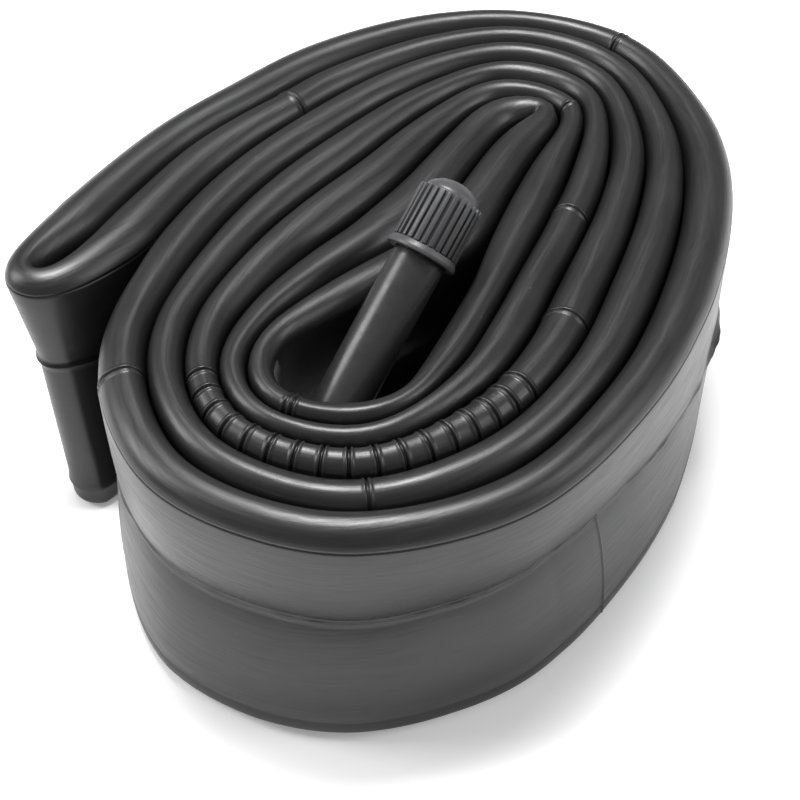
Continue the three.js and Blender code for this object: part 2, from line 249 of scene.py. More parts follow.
class Route:
    """The band's centre line at half-millimetre steps, with the room that each side of the band has."""

    STEP = 0.5

    def __init__(self):
        points = outgoing_half() + TIP_FOLD + BACK_FROM_TIP + returning_half() + INNER_FOLD
        curve = through_points(points) - np.array(ROLL_CENTRE)
        lengths = np.linalg.norm(np.roll(curve, -1, axis=0) - curve, axis=1)
        along = np.concatenate([[0], np.cumsum(lengths)])
        count = int(along[-1] / self.STEP)
        wanted = np.arange(count) * along[-1] / count
        closed = np.vstack([curve, curve[:1]])
        even = np.stack([np.interp(wanted, along, closed[:, k]) for k in (0, 1)], axis=1)
        self.place = smooth_round(even, 2.2 / self.STEP)
        step = np.roll(self.place, -1, axis=0) - np.roll(self.place, 1, axis=0)
        spacing = np.linalg.norm(step, axis=1)
        self.forward = step / spacing[:, None]
        self.left = np.stack([-self.forward[:, 1], self.forward[:, 0]], axis=1)
        self.length = spacing.sum() / 2
        self.count = count
        self.at = np.arange(count) * self.length / count
        turn = np.roll(self.forward, -1, axis=0) - np.roll(self.forward, 1, axis=0)
        self.bend = (turn * self.left).sum(axis=1) / spacing
        self.measure_room()

    def measure_room(self):
        """Half the way to the neighbouring pass on each side, and whether that side is open."""
        apart = self.place[None, :, :] - self.place[:, None, :]
        sideways = (apart * self.left[:, None, :]).sum(axis=2)
        lengthways = np.abs((apart * self.forward[:, None, :]).sum(axis=2))
        beside = lengthways < 1.5
        room = {}
        for side in (1, -1):
            distance = np.where(beside & (sideways * side > 1.6), sideways * side, 99)
            room[side] = distance.min(axis=1)
        self.half = {}
        self.open = {}
        for side in (1, -1):
            opening = np.clip((room[side] - 9.5) / 3, 0, 1)
            other = np.clip(room[-side] / 2 - AIR_GAP, 1.2, 3.6)
            free = np.clip(1.15 * other + 0.4, 1.3, 4.3)
            filled = np.minimum(room[side] / 2 - AIR_GAP, free + 0.6)
            half = filled * (1 - opening) + free * opening
            limit = np.where(self.bend * side > 0.05, 0.8 / np.maximum(self.bend * side, 0.05), 99)
            evened = smooth_round(np.minimum(half, limit), 3 / self.STEP)
            self.half[side] = np.minimum(evened, np.minimum(room[side] / 2 - 0.05, np.maximum(limit, 0.9)))
            self.open[side] = smooth_round(opening, 3 / self.STEP)

    def nearest(self, x, y):
        """How far along the band the place nearest to a plan point lies."""
        return self.at[np.argmin(np.hypot(self.place[:, 0] - x, self.place[:, 1] - y))]

    def sample(self, values, at):
        closed = np.concatenate([values, values[:1]])
        ticks = np.concatenate([self.at, [self.length]])
        if values.ndim == 1:
            return np.interp(at, ticks, closed)
        return np.stack([np.interp(at, ticks, closed[:, k]) for k in range(values.shape[1])], axis=1)


ROUTE = Route()

# Moulded rings: a close row of them on the third pass, and single ones here and there. Plan places.
RING_ROW = {"start": (-26.3, -31), "end": (19.6, -31.8), "count": 17}
SINGLE_RINGS = [
    (27.2, -18.4), (29.5, 5), (-1.7, -52.4), (-36.8, -31), (-15.9, 34.5), (41.4, 51.5), (31.2, 32.3),
    (-13.3, -37.4), (-12.1, -37.8),
]
SPLICE_AT = (34.4, -42.2)
FLAP_AT = (52.9, -2.5)

# How far out of the band's middle its open outer face lies, at places along the roll's front: at the
# shoulder, at the crown's flash and at the foot. The crown is pinched in at the front and stands out at the
# right.
OUTER_FACE = [
    {"near": (-40.1, -20), "shoulder": 4.2, "crown": 3.8, "foot": 4.2},
    {"near": (-37.4, -37.5), "shoulder": 4.2, "crown": 3.4, "foot": 5.0},
    {"near": (-29.1, -49.6), "shoulder": 4.0, "crown": 2.2, "foot": 5.9},
    {"near": (-16.2, -57.2), "shoulder": 3.8, "crown": 1.5, "foot": 5.8},
    {"near": (-3.5, -59.4), "shoulder": 3.9, "crown": 1.0, "foot": 5.2},
    {"near": (9.5, -56), "shoulder": 3.6, "crown": 0.2, "foot": 4.2},
    {"near": (23.5, -46.4), "shoulder": 3.5, "crown": -0.3, "foot": 3.6},
    {"near": (36.3, -33.9), "shoulder": 3.8, "crown": 1.4, "foot": 4.0},
    {"near": (46.7, -19.5), "shoulder": 4.1, "crown": 3.8, "foot": 4.6},
    {"near": (49.7, -13.5), "shoulder": 4.3, "crown": 4.4, "foot": 4.5},
    {"near": (54.1, 1.1), "shoulder": 4.3, "crown": 4.5, "foot": 4.3},
    {"near": (52.5, 20), "shoulder": 4.1, "crown": 3.8, "foot": 4.2},
]
TIP = (TIP_FOLD[1][0] - ROLL_CENTRE[0], TIP_FOLD[1][1] - ROLL_CENTRE[1])
TIP_LEAN = (4.5, -7.5)  # the fold's foot lies this far in and forward of its top
TIP_LEAN_REACH = 18


def ring_places():
    first = ROUTE.nearest(*RING_ROW["start"])
    last = ROUTE.nearest(*RING_ROW["end"])
    row = list(np.linspace(first, last, RING_ROW["count"]))
    return row, [ROUTE.nearest(*place) for place in SINGLE_RINGS]


def stations_along():
    """Places along the band: close together across rings and on the open outer face, wider elsewhere."""
    row, single = ring_places()
    first = ROUTE.nearest(*OUTER_FACE[0]["near"])
    last = ROUTE.nearest(*OUTER_FACE[-1]["near"])
    tip = ROUTE.nearest(*TIP)
    places = np.concatenate([
        np.arange(0, first, 1.9), np.arange(first, last, 0.6), np.arange(last, tip - 12, 1.9),
        np.arange(tip - 12, tip + 12, 0.4), np.arange(tip + 12, ROUTE.length - 1, 1.9),
    ])
    half_ring = np.array([0.1, 0.2, 0.3, 0.42, 0.54, 0.7, 0.95])
    fine = np.concatenate([-half_ring[::-1], [0], half_ring])
    for ring in row + single:
        places = places[np.abs(places - ring) > 1.15]
        places = np.concatenate([places, ring + fine])
    splice = ROUTE.nearest(*SPLICE_AT)
    places = places[np.abs(places - splice) > 0.8]
    places = np.concatenate([places, splice + np.arange(-0.6, 0.61, 0.12)])
    places = np.sort(places % ROUTE.length)
    keep = np.concatenate([[True], np.diff(places) > 0.05])
    return places[keep]


# ---- The flattened tube's section ----

def lobe(share, fullness=0.62):
    """From the pinched crown out to the full bead: 0 to 1, steep at the pinch."""
    return math.sin(min(max(share, 0), 1) * math.pi / 2) ** fullness


def section_columns():
    """Columns round the section: from under the band, up its tread side, over the bead, down its rim side.

    Each column says its side, its zone and its place in that zone.
    """
    line = SIDE_LINE_ANGLE
    columns = [(0, "base", 0)]
    columns += [(-1, "base", angle) for angle in (25, 45, 65, 82)]
    columns += [(-1, "low", q) for q in (1, 0.935, FOOT_LINE, 0.895, 0.7, 0.5, 0.32, 0.16, 0.04)]
    columns += [(-1, "crown", rise) for rise in (-0.4, -0.12, 0, 0.12, 0.4)]
    columns += [(-1, "high", q) for q in (0.03, 0.1, 0.22, 0.4, 0.6, 0.8)]
    columns += [(-1, "bead", angle) for angle in (0, line - 6, line - 2, line, line + 2, line + 6)]
    columns += [(-1, "bead", angle) for angle in (28, 40, 53, 66, 79)]
    columns += [(1, "bead", angle) for angle in (90, 80, 70, 60, 50, 38, 25, 12, 0)]
    columns += [(1, "high", q) for q in (0.8, 0.5, 0.25, 0.08)]
    columns += [(1, "crown", 0)]
    columns += [(1, "low", q) for q in (0.08, 0.25, 0.5, 0.8, 1)]
    columns += [(1, "base", angle) for angle in (78, 55, 30)]
    return columns


def noise_along(at, seed, wavelength):
    """Smooth noise of about -1 to 1 along the closed band."""
    turns = ROUTE.length / (2 * math.pi * wavelength)
    values = []
    for place in at:
        angle = 2 * math.pi * place / ROUTE.length
        values.append(noise.noise(Vector((turns * math.cos(angle), turns * math.sin(angle), seed))))
    return np.array(values) * 1.6


def pointed(distance, width):
    """A low ridge with round flanks: 1 in the middle, 0 beyond its width."""
    return np.clip(1 - (distance / width) ** 2, 0, 1) ** 2


def outer_face(at):
    """The open outer face's offsets at the stations, and how far each station belongs to that face."""
    places = np.array([ROUTE.nearest(*face["near"]) for face in OUTER_FACE])
    offsets = {}
    for level in ("shoulder", "crown", "foot"):
        offsets[level] = np.interp(at, places, [face[level] for face in OUTER_FACE])
    belongs = np.clip((at - places[0]) / 25 + 0.5, 0, 1) * np.clip((places[-1] - at) / 25 + 0.5, 0, 1)
    return offsets, belongs


def tip_lean(place, height):
    """The fold at the loose end stands aslant: its foot lies further in and forward than its top."""
    near = np.clip(1.15 - np.linalg.norm(place - np.array(TIP), axis=1) / TIP_LEAN_REACH, 0, 1)
    return (near * (1 - height / BAND_HEIGHT))[:, None] * np.array(TIP_LEAN)


class Band:
    """Everything that the section needs to know at each station along the band."""

    def __init__(self, at):
        self.at = at
        self.place = ROUTE.sample(ROUTE.place, at)
        left = ROUTE.sample(ROUTE.left, at)
        self.left = left / np.linalg.norm(left, axis=1)[:, None]
        from_tip = np.linalg.norm(self.place - np.array(TIP), axis=1)
        self.near_tip = np.clip(1.2 - from_tip / 16, 0, 1)
        offsets, belongs = outer_face(at)
        # Strength of the mould lines: scales the hairline groove's depth and the painted shade in it and by
        # the flash, full on the open outer face and at the tip.
        self.mould_line_depth_and_shade = 0.12 + 0.88 * np.maximum(belongs, self.near_tip)
        self.half, self.crown, self.foot = {}, {}, {}
        for side in (1, -1):
            opened = ROUTE.sample(ROUTE.open[side], at)
            half = ROUTE.sample(ROUTE.half[side], at)
            half = np.minimum(half, TIP_HALF + 3 * (1 - self.near_tip))
            waist = 0.55 - 0.15 * opened
            waist = waist + (0.95 - waist) * self.near_tip
            self.half[side] = half
            self.crown[side] = waist * half
            self.foot[side] = (1 + 0.08 * opened) * half
        self.half[-1] = self.half[-1] + TIP_SHOULDER * self.near_tip
        for level, values in (("shoulder", self.half), ("crown", self.crown), ("foot", self.foot)):
            values[-1] = values[-1] * (1 - belongs) + offsets[level] * belongs
        pinch = np.maximum(0, 0.9 - self.crown[-1] - self.crown[1])
        self.crown[1] = self.crown[1] + pinch
        mean_half = (self.half[1] + self.half[-1]) / 2
        self.top = BAND_HEIGHT - 0.25 * (1 + noise_along(at, 1.3, 35))
        self.bead_height = np.minimum(0.95 * mean_half + 0.5, 4.4)
        self.flash_height = CROWN_HEIGHT + 4.5 * self.near_tip + 0.4 * noise_along(at, 5.2, 16)
        ragged = np.clip(0.35 + 0.5 * noise_along(at, 3.1, 2.6) + 0.5 * noise_along(at, 7.7, 7), 0, 1)
        self.fin = 0.14 + (0.15 + 0.1 * belongs) * ragged + 0.25 * self.near_tip
        self.flap = pointed(at - ROUTE.nearest(*FLAP_AT), 8)
        self.ring_lift, self.ring_groove_shade = self.rings()
        self.splice = at - ROUTE.nearest(*SPLICE_AT)

    def rings(self):
        row, single = ring_places()
        lift = np.zeros(len(self.at))
        crease_shade = np.zeros(len(self.at))
        for ring in row + single:
            distance = np.abs(self.at - ring)
            strength = 1 if ring in row else 0.8
            lips = 0.2 * pointed(distance - RING_SPREAD, 0.32)
            lift += strength * (lips - 0.26 * pointed(distance, 0.28))
            # Painted shade over each ring's groove.
            crease_shade = np.maximum(crease_shade, strength * pointed(distance, 0.4))
        return lift, crease_shade

    def column(self, side, zone, where):
        """Offset from the band's middle, height and painted shade (darkening in grooves and creases) of one
        column at every station.
        """
        key = side or 1
        half, crown, foot = self.half[key], self.crown[key], self.foot[key]
        base_radius = np.minimum(0.85 * foot, 2.1)
        # Painted shade, starting with the darkening over the ring grooves.
        crease_shade = self.ring_groove_shade.copy()
        lift = self.ring_lift
        if zone == "base":
            angle = math.radians(where)
            return side * foot * math.sin(angle), base_radius * (1 - math.cos(angle)), crease_shade * 0
        if zone == "bead":
            angle = math.radians(where)
            groove = 0.3 if side == -1 and where == SIDE_LINE_ANGLE else 0
            # The hairline groove is cut in and darkened with painted shade.
            if groove:
                groove = groove * self.mould_line_depth_and_shade
                crease_shade = np.maximum(crease_shade, self.mould_line_depth_and_shade)
            offset = (half + lift - groove) * math.cos(angle)
            height = self.top + (self.bead_height + lift) * math.sin(angle) - self.bead_height
            return side * offset, height, crease_shade
        outwards = lift.copy()
        if zone == "high":
            bulge = lobe(where) * (1 - self.near_tip) + where * self.near_tip
            offset = crown + (half - crown) * bulge
            shoulder = self.top - self.bead_height
            height = self.flash_height + 0.4 + (shoulder - self.flash_height - 0.4) * where
            # Painted shade in the tuck just above the flash, under the upper lobe.
            if side == -1 and where < 0.15:
                crease_shade = np.maximum(crease_shade, 0.6 * self.mould_line_depth_and_shade)
        elif zone == "low":
            offset = crown + (foot - crown) * lobe(where, 0.8)
            height = self.flash_height - 0.4 + (base_radius - self.flash_height + 0.4) * where
            # The foot line is a fine line in the wall, darkened with painted shade.
            if side == -1 and where == FOOT_LINE:
                outwards += 0.42 * self.near_tip - 0.16
                crease_shade = np.maximum(crease_shade, 0.8 * self.mould_line_depth_and_shade)
            outwards *= where < 0.95
        else:
            offset = crown.copy()
            height = self.flash_height + where
            if side == -1 and abs(where) < 0.3:
                ragged_flap = self.flap * (0.25 + 1.4 * self.fin)
                outwards += self.fin * (1 if where == 0 else 0.75) + ragged_flap
                height = height - 0.3 * self.fin
            # Painted shade on the flash and the tuck just above it.
            if side == -1 and where > 0:
                crease_shade = np.maximum(crease_shade, self.mould_line_depth_and_shade)
        if side == -1 and zone != "high":
            outwards += 0.22 * pointed(self.splice, 0.3)
            # Painted shade: a thin dark line in the crease beside the splice ridge.
            crease_shade = np.maximum(crease_shade, pointed(self.splice - 0.12, 0.42))
        return side * (offset + outwards), height, crease_shade


def tube_surface():
    """The whole band as rings of points, with the painted shade in its grooves and creases."""
    band = Band(stations_along())
    columns = section_columns()
    points = np.zeros((len(band.at), len(columns), 3))
    # Painted shade for every point, darkening grooves and creases.
    marks = np.zeros((len(band.at), len(columns)))
    for index, column in enumerate(columns):
        offset, height, crease_shade = band.column(*column)
        points[:, index, :2] = band.place + band.left * offset[:, None] + tip_lean(band.place, height)
        points[:, index, 2] = np.maximum(height, 0)
        marks[:, index] = crease_shade
    return band.at, points, marks


def girth_of(points):
    """Distance round the section from under the band, at every column."""
    steps = np.linalg.norm(np.diff(points, axis=1), axis=2)
    return np.concatenate([np.zeros((len(points), 1)), np.cumsum(steps, axis=1)], axis=1)


def build_tube(material):
    at, points, marks = tube_surface()
    rings, corners = marks.shape
    faces = ring_grid_faces(rings, corners)
    flat = points.reshape(-1, 3)
    if signed_volume(flat, faces) < 0:
        faces = faces[:, ::-1]
    mesh = bpy.data.meshes.new("inner_tube")
    mesh.from_pydata((flat * MM).tolist(), [], faces.tolist())
    # The painted shade goes on the mesh as a point attribute that the rubber reads.
    crease_shade = mesh.attributes.new("crease_shade", "FLOAT", "POINT")
    crease_shade.data.foreach_set("value", marks.reshape(-1).astype(np.float32))
    write_band_uvs(mesh, at, girth_of(points))
    return put_in_scene("inner_tube", mesh, material, "tube_and_stem", ["tube_body"])


def write_band_uvs(mesh, at, girth):
    """The band's own coordinates in metres: along the band, and round its section."""
    rings, corners = girth.shape
    layer = mesh.uv_layers.new(name="band")
    vertex = np.zeros(len(mesh.loops), dtype=np.int64)
    mesh.loops.foreach_get("vertex_index", vertex)
    ring, corner = vertex // corners, vertex % corners
    along = at[ring]
    around = girth[ring, corner]
    by_face_ring = ring.reshape(-1, 4)
    by_face_corner = corner.reshape(-1, 4)
    wraps_on = (np.ptp(by_face_ring, axis=1) > 1)[:, None] & (by_face_ring == 0)
    wraps_round = (np.ptp(by_face_corner, axis=1) > 1)[:, None] & (by_face_corner == 0)
    along = along + wraps_on.reshape(-1) * ROUTE.length
    around = around + wraps_round.reshape(-1) * (girth[ring, corners - 1] + 0.6)
    layer.data.foreach_set("uv", (np.stack([along, around], axis=1) * MM).reshape(-1).astype(np.float32))


# ---- The valve's own frame ----

def valve_frame():
    rise = math.radians(VALVE_RISE)
    azimuth = math.radians(VALVE_AZIMUTH)
    axis = Vector((math.cos(rise) * math.cos(azimuth), math.cos(rise) * math.sin(azimuth), math.sin(rise)))
    turn = Vector((0, 0, 1)).rotation_difference(axis).to_matrix().to_4x4()
    foot = Vector((VALVE_FOOT[0] - ROLL_CENTRE[0], VALVE_FOOT[1] - ROLL_CENTRE[1], VALVE_FOOT[2]))
    return Matrix.Translation(foot * MM) @ turn


VALVE = valve_frame()


def turned(name, profile, sides=96):
    """A closed wall turned about the valve's axis; where its profile meets the axis it has a single point."""
    work = bmesh.new()
    angles = [2 * math.pi * k / sides for k in range(sides)]
    rings = []
    for radius, height in profile:
        around = angles if radius else [0]
        places = [(radius * math.cos(a), radius * math.sin(a), height) for a in around]
        rings.append([work.verts.new(Vector(place) * MM) for place in places])
    for one, two in zip(rings, rings[1:] + rings[:1]):
        for k in range(sides):
            after = (k + 1) % sides
            corners = [one[k % len(one)], one[after % len(one)], two[after % len(two)], two[k % len(two)]]
            corners = list(dict.fromkeys(corners))
            if len(corners) > 2:
                work.faces.new(corners)
    bmesh.ops.recalc_face_normals(work, faces=work.faces)
    mesh = bpy.data.meshes.new(name)
    work.to_mesh(mesh)
    work.free()
    mesh.transform(VALVE)
    return mesh


def sharpen(mesh, degrees=35):
    mesh.set_sharp_from_angle(angle=math.radians(degrees))


def rounded(profile, radius, steps=4):
    """The profile with its inner corners replaced by short arcs."""
    result = [profile[0]]
    for before, corner, after in zip(profile, profile[1:], profile[2:]):
        before, corner, after = Vector(before), Vector(corner), Vector(after)
        reach = min(radius, (before - corner).length / 2.2, (after - corner).length / 2.2)
        start = corner + (before - corner).normalized() * reach
        end = corner + (after - corner).normalized() * reach
        for k in range(steps + 1):
            share = k / steps
            one, two = start.lerp(corner, share), corner.lerp(end, share)
            result.append(tuple(one.lerp(two, share)))
    return result + [profile[-1]]


def geometry_tree(name, inputs):
    """An empty geometry tree with named inputs and one geometry output."""
    tree = bpy.data.node_groups.new(name, "GeometryNodeTree")
    for label, kind, value in inputs:
        socket = tree.interface.new_socket(label, in_out="INPUT", socket_type=kind)
        socket.default_value = value
    tree.interface.new_socket("Geometry", in_out="OUTPUT", socket_type="NodeSocketGeometry")
    return tree, add(tree, "NodeGroupInput"), add(tree, "NodeGroupOutput")


def grown(tree, values):
    """Runs a geometry tree with these input values and gives the finished mesh, in the valve's frame."""
    carrier = bpy.data.objects.new(tree.name, bpy.data.meshes.new(tree.name))
    bpy.context.scene.collection.objects.link(carrier)
    modifier = carrier.modifiers.new(tree.name, "NODES")
    modifier.node_group = tree
    for item in tree.interface.items_tree:
        if item.in_out == "INPUT" and item.name in values:
            modifier[item.identifier] = values[item.name]
    evaluated = carrier.evaluated_get(bpy.context.evaluated_depsgraph_get())
    mesh = bpy.data.meshes.new_from_object(evaluated)
    carrier.modifiers.remove(modifier)
    bpy.data.objects.remove(carrier)
    mesh.transform(VALVE)
    return mesh


def helix_tree(name, material):
    """A wire or a thread ridge wound round the valve's axis."""
    tree, given, result = geometry_tree(name, [
        ("Turns", "NodeSocketFloat", 5.0), ("Radius", "NodeSocketFloat", 0.001),
        ("Height", "NodeSocketFloat", 0.004), ("Start", "NodeSocketFloat", 0.0),
        ("Wire radius", "NodeSocketFloat", 0.0002), ("Wire sides", "NodeSocketInt", 8),
    ])
    spiral = add(
        tree, "GeometryNodeCurveSpiral", Resolution=28, Rotations=given.outputs["Turns"],
        Start_Radius=given.outputs["Radius"], End_Radius=given.outputs["Radius"],
        Height=given.outputs["Height"],
    )
    wire = add(
        tree, "GeometryNodeCurvePrimitiveCircle", Resolution=given.outputs["Wire sides"],
        Radius=given.outputs["Wire radius"],
    )
    swept = add(
        tree, "GeometryNodeCurveToMesh", Curve=spiral.outputs[0], Profile_Curve=wire.outputs[0],
        Fill_Caps=True,
    )
    start = add(tree, "ShaderNodeCombineXYZ", Z=given.outputs["Start"])
    moved = add(tree, "GeometryNodeTransform", Geometry=swept.outputs[0], Translation=start.outputs[0])
    real = add(tree, "GeometryNodeRealizeInstances", Geometry=moved.outputs[0])
    coated = add(tree, "GeometryNodeSetMaterial", Geometry=real.outputs[0], Material=material)
    tree.links.new(coated.outputs[0], result.inputs[0])
    return tree


def rib_tree(name, material):
    """Grip ribs stood round the cap, each a block that looks outwards."""
    tree, given, result = geometry_tree(name, [
        ("Count", "NodeSocketInt", CAP_RIBS), ("Radius", "NodeSocketFloat", 0.005),
        ("Width", "NodeSocketFloat", 0.0008), ("Depth", "NodeSocketFloat", 0.0008),
        ("Length", "NodeSocketFloat", 0.009), ("Start", "NodeSocketFloat", 0.04),
        ("Narrowest", "NodeSocketFloat", 0.5), ("Seed", "NodeSocketInt", 4),
    ])
    circle = add(
        tree, "GeometryNodeMeshCircle", Vertices=given.outputs["Count"], Radius=given.outputs["Radius"],
    )
    size = add(
        tree, "ShaderNodeCombineXYZ", X=given.outputs["Depth"], Y=given.outputs["Width"],
        Z=given.outputs["Length"],
    )
    block = add(tree, "GeometryNodeMeshCube", Size=size.outputs[0])
    place = add(tree, "GeometryNodeInputPosition")
    facing = add(tree, "FunctionNodeAlignRotationToVector", {"axis": "X"}, Vector=place.outputs[0])
    width = add(
        tree, "FunctionNodeRandomValue", {"data_type": "FLOAT"}, Min=given.outputs["Narrowest"], Max=1.0,
        Seed=given.outputs["Seed"],
    )
    scale = add(tree, "ShaderNodeCombineXYZ", X=1.0, Y=width.outputs[1], Z=1.0)
    ribs = add(
        tree, "GeometryNodeInstanceOnPoints", Points=circle.outputs[0], Instance=block.outputs[0],
        Rotation=facing.outputs[0], Scale=scale.outputs[0],
    )
    start = add(tree, "ShaderNodeCombineXYZ", Z=given.outputs["Start"])
    moved = add(tree, "GeometryNodeTransform", Geometry=ribs.outputs[0], Translation=start.outputs[0])
    real = add(tree, "GeometryNodeRealizeInstances", Geometry=moved.outputs[0])
    coated = add(tree, "GeometryNodeSetMaterial", Geometry=real.outputs[0], Material=material)
    tree.links.new(coated.outputs[0], result.inputs[0])
    return tree


# ---- Materials ----

def new_material(name):
    material = bpy.data.materials.new(name)
    material.use_nodes = True
    tree = material.node_tree
    tree.nodes.clear()
    surface = add(tree, "ShaderNodeBsdfPrincipled")
    out = add(tree, "ShaderNodeOutputMaterial")
    tree.links.new(surface.outputs[0], out.inputs[0])
    return material, tree, surface


def per_metre(millimetres):
    """Noise scale whose features are about this many millimetres across."""
    return 1000 / millimetres


def butyl_tube_rubber():
    """Butyl rubber, extruded and cured in a mould: satin black, softly blotched with talc, scuffed along the
    band, with painted shade darkening its mould-line grooves, ring grooves, splice crease and the tuck above
    the flash."""
    material, tree, surface = new_material("butyl_rubber_moulded")
    band = add(tree, "ShaderNodeUVMap", {"uv_map": "band"})
    coords = add(tree, "ShaderNodeTexCoord")
    stretch = add(tree, "ShaderNodeMapping", Vector=band.outputs[0], Scale=(0.06, 1, 1))
    scuff = add(
        tree, "ShaderNodeTexNoise", Vector=stretch.outputs[0], Scale=per_metre(0.55), Detail=4.0,
        Roughness=0.62,
    )
    bloom = add(
        tree, "ShaderNodeTexNoise", Vector=coords.outputs["Object"], Scale=per_metre(14),
        Detail=3.0, Roughness=0.55,
    )
    grain = add(
        tree, "ShaderNodeTexNoise", Vector=coords.outputs["Object"], Scale=per_metre(0.5),
        Detail=2.0, Roughness=0.5,
    )
    specks = add(
        tree, "ShaderNodeTexVoronoi", Vector=coords.outputs["Object"], Scale=per_metre(5.5), Randomness=1.0,
    )
    tone = add(tree, "ShaderNodeValToRGB", Fac=bloom.outputs["Fac"])
    tone.color_ramp.elements[0].position = 0.3
    tone.color_ramp.elements[0].color = linear("#141415")
    tone.color_ramp.elements[1].position = 0.75
    tone.color_ramp.elements[1].color = linear("#1f1f20")
    dust = add(tree, "ShaderNodeMapRange", Value=specks.outputs["Distance"], From_Min=0.0, From_Max=0.045,
               To_Min=0.35, To_Max=0.0)
    dusty = add(tree, "ShaderNodeMix", {"data_type": "RGBA"}, Factor=dust.outputs[0])
    tree.links.new(tone.outputs[0], dusty.inputs[6])
    dusty.inputs[7].default_value = linear("#6a6a6a")
    # Painted shade: the point attribute read here darkens the band's grooves, mould lines, splice crease and
    # the tuck above the flash.
    crease_shade = add(tree, "ShaderNodeAttribute", {"attribute_name": "crease_shade"})
    crease_shaded = add(tree, "ShaderNodeMix", {"data_type": "RGBA"}, Factor=crease_shade.outputs["Fac"])
    tree.links.new(dusty.outputs[2], crease_shaded.inputs[6])
    # Near-black colour of the painted shade in grooves and creases.
    crease_shaded.inputs[7].default_value = linear("#060606")
    tree.links.new(crease_shaded.outputs[2], surface.inputs["Base Color"])
    sheen_spread = add(tree, "ShaderNodeMapRange", Value=scuff.outputs["Fac"], From_Min=0.3, From_Max=0.7,
                       To_Min=0.29, To_Max=0.46)
    tree.links.new(sheen_spread.outputs[0], surface.inputs["Roughness"])
    relief = add(tree, "ShaderNodeBump", Height=grain.outputs["Fac"], Strength=0.06, Distance=0.0002)
    scratched = add(
        tree, "ShaderNodeBump", Height=scuff.outputs["Fac"], Strength=0.1, Distance=0.0003,
        Normal=relief.outputs[0],
    )
    tree.links.new(scratched.outputs[0], surface.inputs["Normal"])
    surface.inputs["IOR"].default_value = 1.52
    return material


def moulded_valve_rubber():
    """Harder rubber moulded on the stem in a polished tool: darker and glossier than the tube."""
    material, tree, surface = new_material("valve_rubber_moulded")
    coords = add(tree, "ShaderNodeTexCoord")
    haze = add(
        tree, "ShaderNodeTexNoise", Vector=coords.outputs["Object"], Scale=per_metre(1.6),
        Detail=4.0, Roughness=0.6,
    )
    spread = add(tree, "ShaderNodeMapRange", Value=haze.outputs["Fac"], From_Min=0.3, From_Max=0.7,
                 To_Min=0.24, To_Max=0.36)
    tree.links.new(spread.outputs[0], surface.inputs["Roughness"])
    relief = add(tree, "ShaderNodeBump", Height=haze.outputs["Fac"], Strength=0.05, Distance=0.0002)
    tree.links.new(relief.outputs[0], surface.inputs["Normal"])
    surface.inputs["Base Color"].default_value = linear("#2a2a2b")
    surface.inputs["IOR"].default_value = 1.52
    return material


def moulded_cap_plastic():
    """Injection-moulded polyethylene: nearly black, half matt, with fine tool marks."""
    material, tree, surface = new_material("cap_polyethylene_moulded")
    coords = add(tree, "ShaderNodeTexCoord")
    grain = add(
        tree, "ShaderNodeTexNoise", Vector=coords.outputs["Object"], Scale=per_metre(0.45),
        Detail=3.0, Roughness=0.6,
    )
    spread = add(tree, "ShaderNodeMapRange", Value=grain.outputs["Fac"], From_Min=0.3, From_Max=0.7,
                 To_Min=0.34, To_Max=0.48)
    tree.links.new(spread.outputs[0], surface.inputs["Roughness"])
    relief = add(tree, "ShaderNodeBump", Height=grain.outputs["Fac"], Strength=0.12, Distance=0.0002)
    tree.links.new(relief.outputs[0], surface.inputs["Normal"])
    surface.inputs["Base Color"].default_value = linear("#404042")
    surface.inputs["IOR"].default_value = 1.51
    return material


def soft_seal_rubber():
    """Nitrile seal rubber: matt black."""
    material, tree, surface = new_material("seal_rubber_nitrile")
    coords = add(tree, "ShaderNodeTexCoord")
    grain = add(
        tree, "ShaderNodeTexNoise", Vector=coords.outputs["Object"], Scale=per_metre(0.3),
        Detail=2.0, Roughness=0.5,
    )
    relief = add(tree, "ShaderNodeBump", Height=grain.outputs["Fac"], Strength=0.15, Distance=0.0001)
    tree.links.new(relief.outputs[0], surface.inputs["Normal"])
    surface.inputs["Base Color"].default_value = linear("#161616")
    surface.inputs["Roughness"].default_value = 0.62
    return material


def turned_metal(name, colour, roughness):
    """Metal turned on a lathe or drawn: fine marks that vary its gloss."""
    material, tree, surface = new_material(name)
    coords = add(tree, "ShaderNodeTexCoord")
    marks = add(
        tree, "ShaderNodeTexNoise", Vector=coords.outputs["Object"], Scale=per_metre(0.25),
        Detail=3.0, Roughness=0.6,
    )
    spread = add(tree, "ShaderNodeMapRange", Value=marks.outputs["Fac"], From_Min=0.3, From_Max=0.7,
                 To_Min=roughness - 0.06, To_Max=roughness + 0.08)
    tree.links.new(spread.outputs[0], surface.inputs["Roughness"])
    surface.inputs["Base Color"].default_value = linear(colour)
    surface.inputs["Metallic"].default_value = 1.0
    return material


def glowing_white_floor():
    """Seamless paper: even, nearly white, and glowing faintly as painted light that lightens the shadows
    round the roll.
    """
    material, _, surface = new_material("paper_floor")
    surface.inputs["Base Color"].default_value = linear("#fafafa")
    surface.inputs["Roughness"].default_value = 0.8
    # Painted light: the floor glows a little, though it is no lamp, to lighten the shadows under and round
    # the roll.
    surface.inputs["Emission Color"].default_value = (1, 1, 1, 1)
    surface.inputs["Emission Strength"].default_value = 0.2
    return material


TUBE_RUBBER = butyl_tube_rubber()
VALVE_RUBBER = moulded_valve_rubber()
CAP_PLASTIC = moulded_cap_plastic()
SEAL_RUBBER = soft_seal_rubber()
BRASS = turned_metal("brass_turned", "#b8934e", 0.3)
SPRING_STEEL = turned_metal("spring_steel_drawn", "#a6a8aa", 0.28)


# ---- Valve pieces ----

